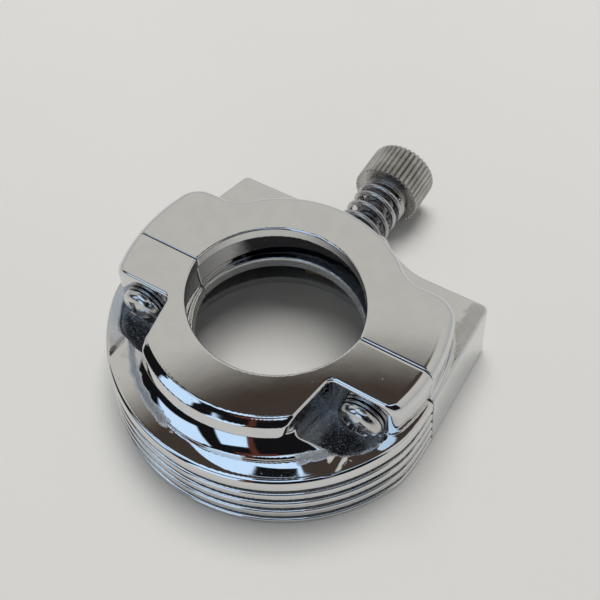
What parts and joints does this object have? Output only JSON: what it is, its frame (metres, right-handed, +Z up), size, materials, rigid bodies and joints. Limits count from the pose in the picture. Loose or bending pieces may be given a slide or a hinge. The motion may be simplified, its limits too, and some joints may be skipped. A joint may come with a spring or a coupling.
{
  "type": "motorcycle throttle-grip housing",
  "caption": "Chromed two-piece housing that clamps a handlebar above a finned grip drum, with side clamp screws and a sprung knurled friction thumbscrew at the back.",
  "frame": {"origin": "on the grip-sleeve bore's axis, at the underside of the base that it rests on", "axes": "+X along the split between the two halves, +Y back to the friction thumbscrew, +Z up from the drum's underside to the clamp collar"},
  "size_m": [0.0491, 0.062, 0.0174],
  "materials": {
    "chrome_front": "bright chrome plate on a buffed die casting, rough in the pockets",
    "chrome_rear": "bright chrome plate on a buffed die casting, rough inside",
    "screw_steel": "plated steel",
    "stud_steel": "plated steel thread",
    "knob_nickel": "dull nickel over a straight knurl",
    "spring_steel": "bright plated spring wire",
    "shoe_brass": "plain brass"
  },
  "bodies": {
    "rear_half": {"rear_housing": "chrome_rear", "friction_spring": "spring_steel"},
    "front_half": {"front_housing": "chrome_front", "lock_washer_left": "screw_steel", "lock_washer_right": "screw_steel"},
    "left_screw": {"clamp_screw_left": "screw_steel"},
    "right_screw": {"clamp_screw_right": "screw_steel"},
    "shoe": {"friction_shoe": "shoe_brass"},
    "thumbscrew": {"friction_screw": "stud_steel", "friction_knob": "knob_nickel"}
  },
  "joints": [
    {"name": "clamp_open", "type": "slide", "parent": "rear_half", "child": "front_half", "axis": [0, -1, 0], "range_m": [0, 0.008]},
    {"name": "left_screw_turn", "type": "hinge", "parent": "front_half", "child": "left_screw", "pos_m": [-0.0171, 0, 0.0127], "axis": [0, -1, 0], "range_deg": [-10, 4130]},
    {"name": "right_screw_turn", "type": "hinge", "parent": "front_half", "child": "right_screw", "pos_m": [0.0171, 0, 0.0127], "axis": [0, -1, 0], "range_deg": [-10, 4130]},
    {"name": "friction_advance", "type": "slide", "parent": "rear_half", "child": "shoe", "axis": [0, -1, 0], "range_m": [-0.0006, 0.0026], "deforming": ["friction_spring"]},
    {"name": "thumbscrew_turn", "type": "hinge", "parent": "shoe", "child": "thumbscrew", "pos_m": [0, 0.0345, 0.006], "axis": [0, -1, 0], "range_deg": [-280, 1180]}
  ],
  "couplings": [
    {"joint": "left_screw_turn", "follows": "clamp_open", "rad_per_m": 8976},
    {"joint": "right_screw_turn", "follows": "clamp_open", "rad_per_m": 8976},
    {"joint": "thumbscrew_turn", "follows": "friction_advance", "rad_per_m": 7854}
  ]
}
